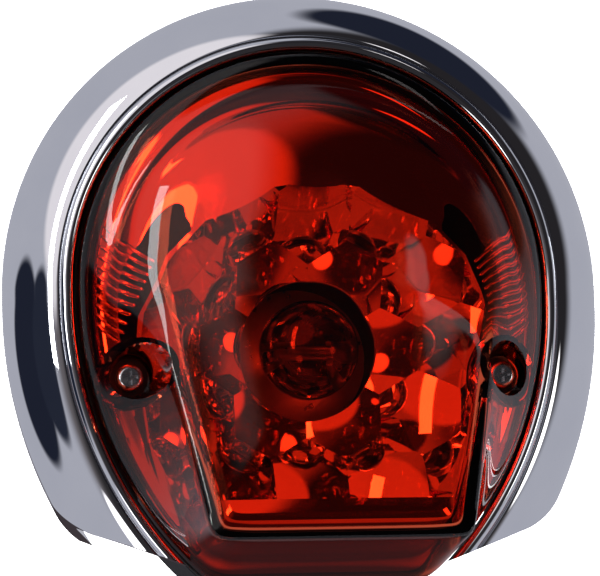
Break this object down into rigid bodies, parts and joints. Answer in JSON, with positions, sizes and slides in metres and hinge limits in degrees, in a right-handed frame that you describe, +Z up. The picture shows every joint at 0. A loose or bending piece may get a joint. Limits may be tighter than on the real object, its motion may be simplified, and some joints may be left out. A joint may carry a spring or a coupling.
{
  "type": "motorcycle tail light",
  "caption": "Arch-shaped tail light: flared chrome housing open at the foot, sloping clear red lens, honeycomb reflector and a bayonet bulb in a sprung socket.",
  "frame": {"origin": "midway between the two mounting studs, on the rear face of the base gasket", "axes": "+Z up, lens faces -Y, studs point along +Y, left and right mirror about X = 0"},
  "size_m": [0.16, 0.1066, 0.1585],
  "materials": {
    "chrome_plate": "mirror-bright plating",
    "black_base": "moulded, fine grain",
    "foam_rubber": "soft matte",
    "zinc_steel": "zinc plated",
    "bright_steel": "bright nickel",
    "red_lens": "clear red acrylic, polished",
    "mirror_coat": "vacuum metallised plastic",
    "brass": "plain brass",
    "clear_glass": "clear",
    "black_glass": "fused black glass",
    "solder": "dull solder",
    "tungsten": "drawn wire",
    "phenolic": "brown fibre board"
  },
  "bodies": {
    "housing": {"chrome_housing": "chrome_plate", "base_plate": "black_base", "base_gasket": "foam_rubber", "mounting_studs": "zinc_steel", "housing_screws": "zinc_steel", "wire_grommet": "foam_rubber", "lens_seal": "foam_rubber", "screw_inserts": "brass", "reflector": "mirror_coat", "socket_barrel": "zinc_steel", "socket_rivets": "zinc_steel", "contact_spring": "bright_steel", "socket_boot": "foam_rubber"},
    "lens_cover": {"lens": "red_lens", "lens_screws": "bright_steel", "screw_seals": "foam_rubber"},
    "contact": {"contact_plate": "phenolic", "contact_tips": "brass", "socket_terminals": "brass"},
    "bulb": {"bulb_glass": "clear_glass", "bulb_cap": "brass", "bulb_insulator": "black_glass", "bulb_contacts": "solder", "bulb_stem": "clear_glass", "bulb_filaments": "tungsten", "filament_supports": "tungsten"}
  },
  "joints": [
    {"name": "lens_off", "type": "slide", "parent": "housing", "child": "lens_cover", "axis": [0, -1, 0], "range_m": [0, 0.06]},
    {"name": "bulb_push", "type": "slide", "parent": "housing", "child": "contact", "axis": [0, 1, 0], "range_m": [0, 0.0016], "stiffness_N_per_m": 3000, "springref_m": -0.003, "deforming": ["contact_spring"]},
    {"name": "bulb_turn", "type": "hinge", "parent": "contact", "child": "bulb", "pos_m": [0, 0, -0.018], "axis": [0, -1, 0], "range_deg": [0, 20]}
  ],
  "couplings": [
    {"joint": "bulb_turn", "follows": "bulb_push", "rad_per_m": 218.14}
  ]
}
